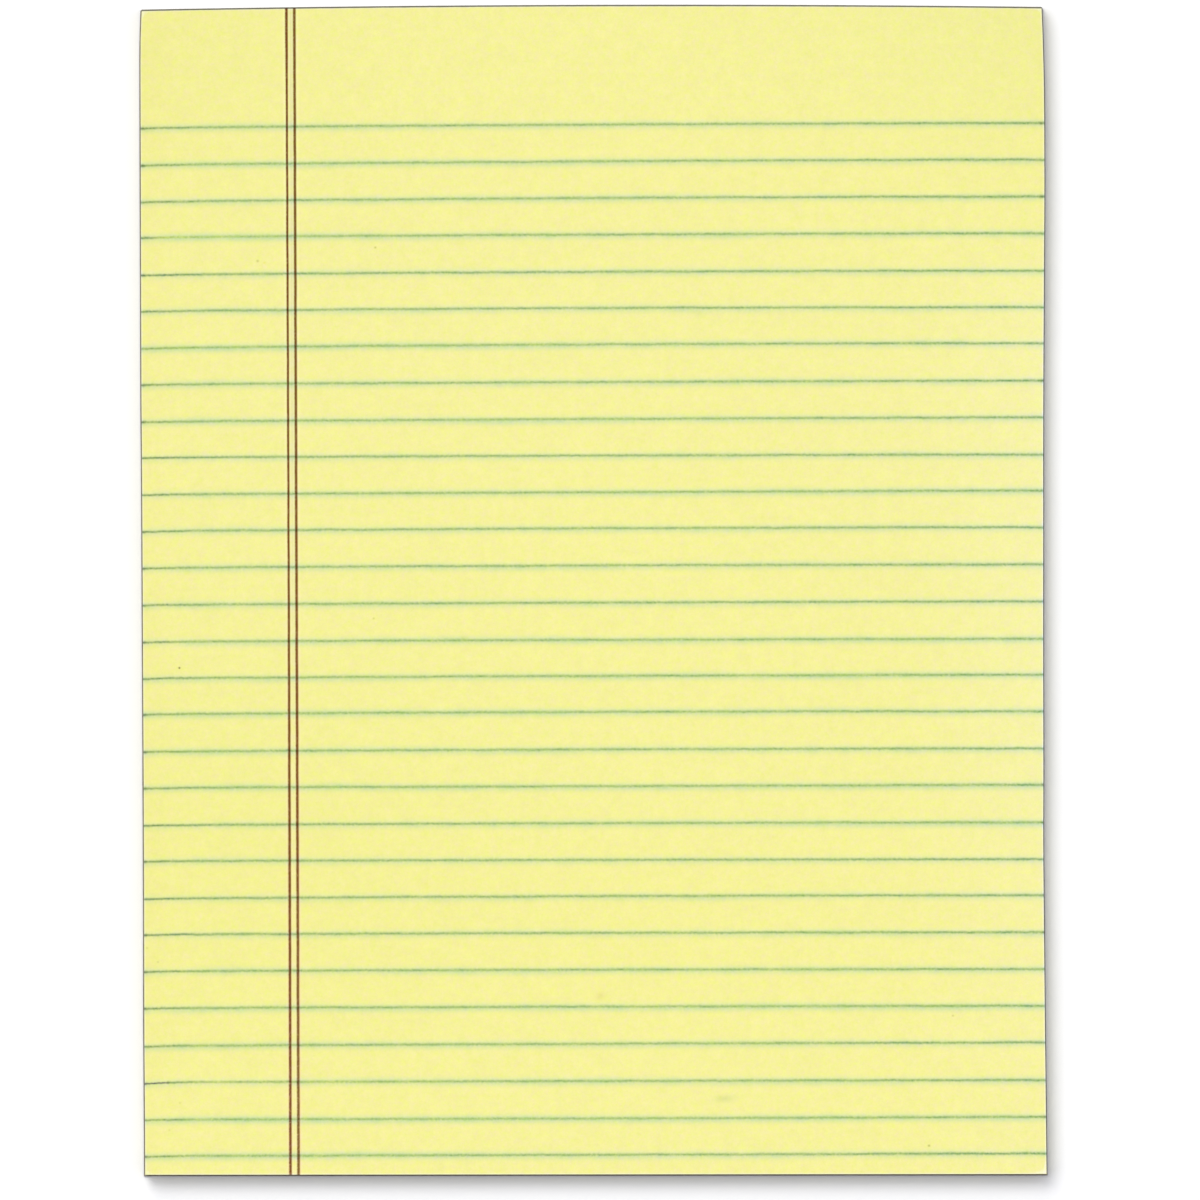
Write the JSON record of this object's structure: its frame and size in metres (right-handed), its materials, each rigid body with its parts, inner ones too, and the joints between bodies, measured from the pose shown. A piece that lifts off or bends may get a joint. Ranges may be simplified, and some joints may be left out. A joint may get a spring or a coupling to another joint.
{
  "type": "legal pad",
  "caption": "Letter-size pad of yellow ruled writing paper with a double margin line, glued along its top edge on a chipboard back.",
  "frame": {"origin": "bottom centre of the pad's box, on the surface that the pad lies on", "axes": "+X across the pad to the reader's right, +Y up the page towards the glued edge, +Z out of the writing face"},
  "size_m": [0.216, 0.2794, 0.005],
  "materials": {
    "canary_paper": "matte",
    "chipboard": "matte",
    "padding_glue": "satin"
  },
  "bodies": {
    "root": {"sheet_block": "canary_paper", "backing_board": "chipboard", "glue_binding": "padding_glue"}
  },
  "joints": []
}
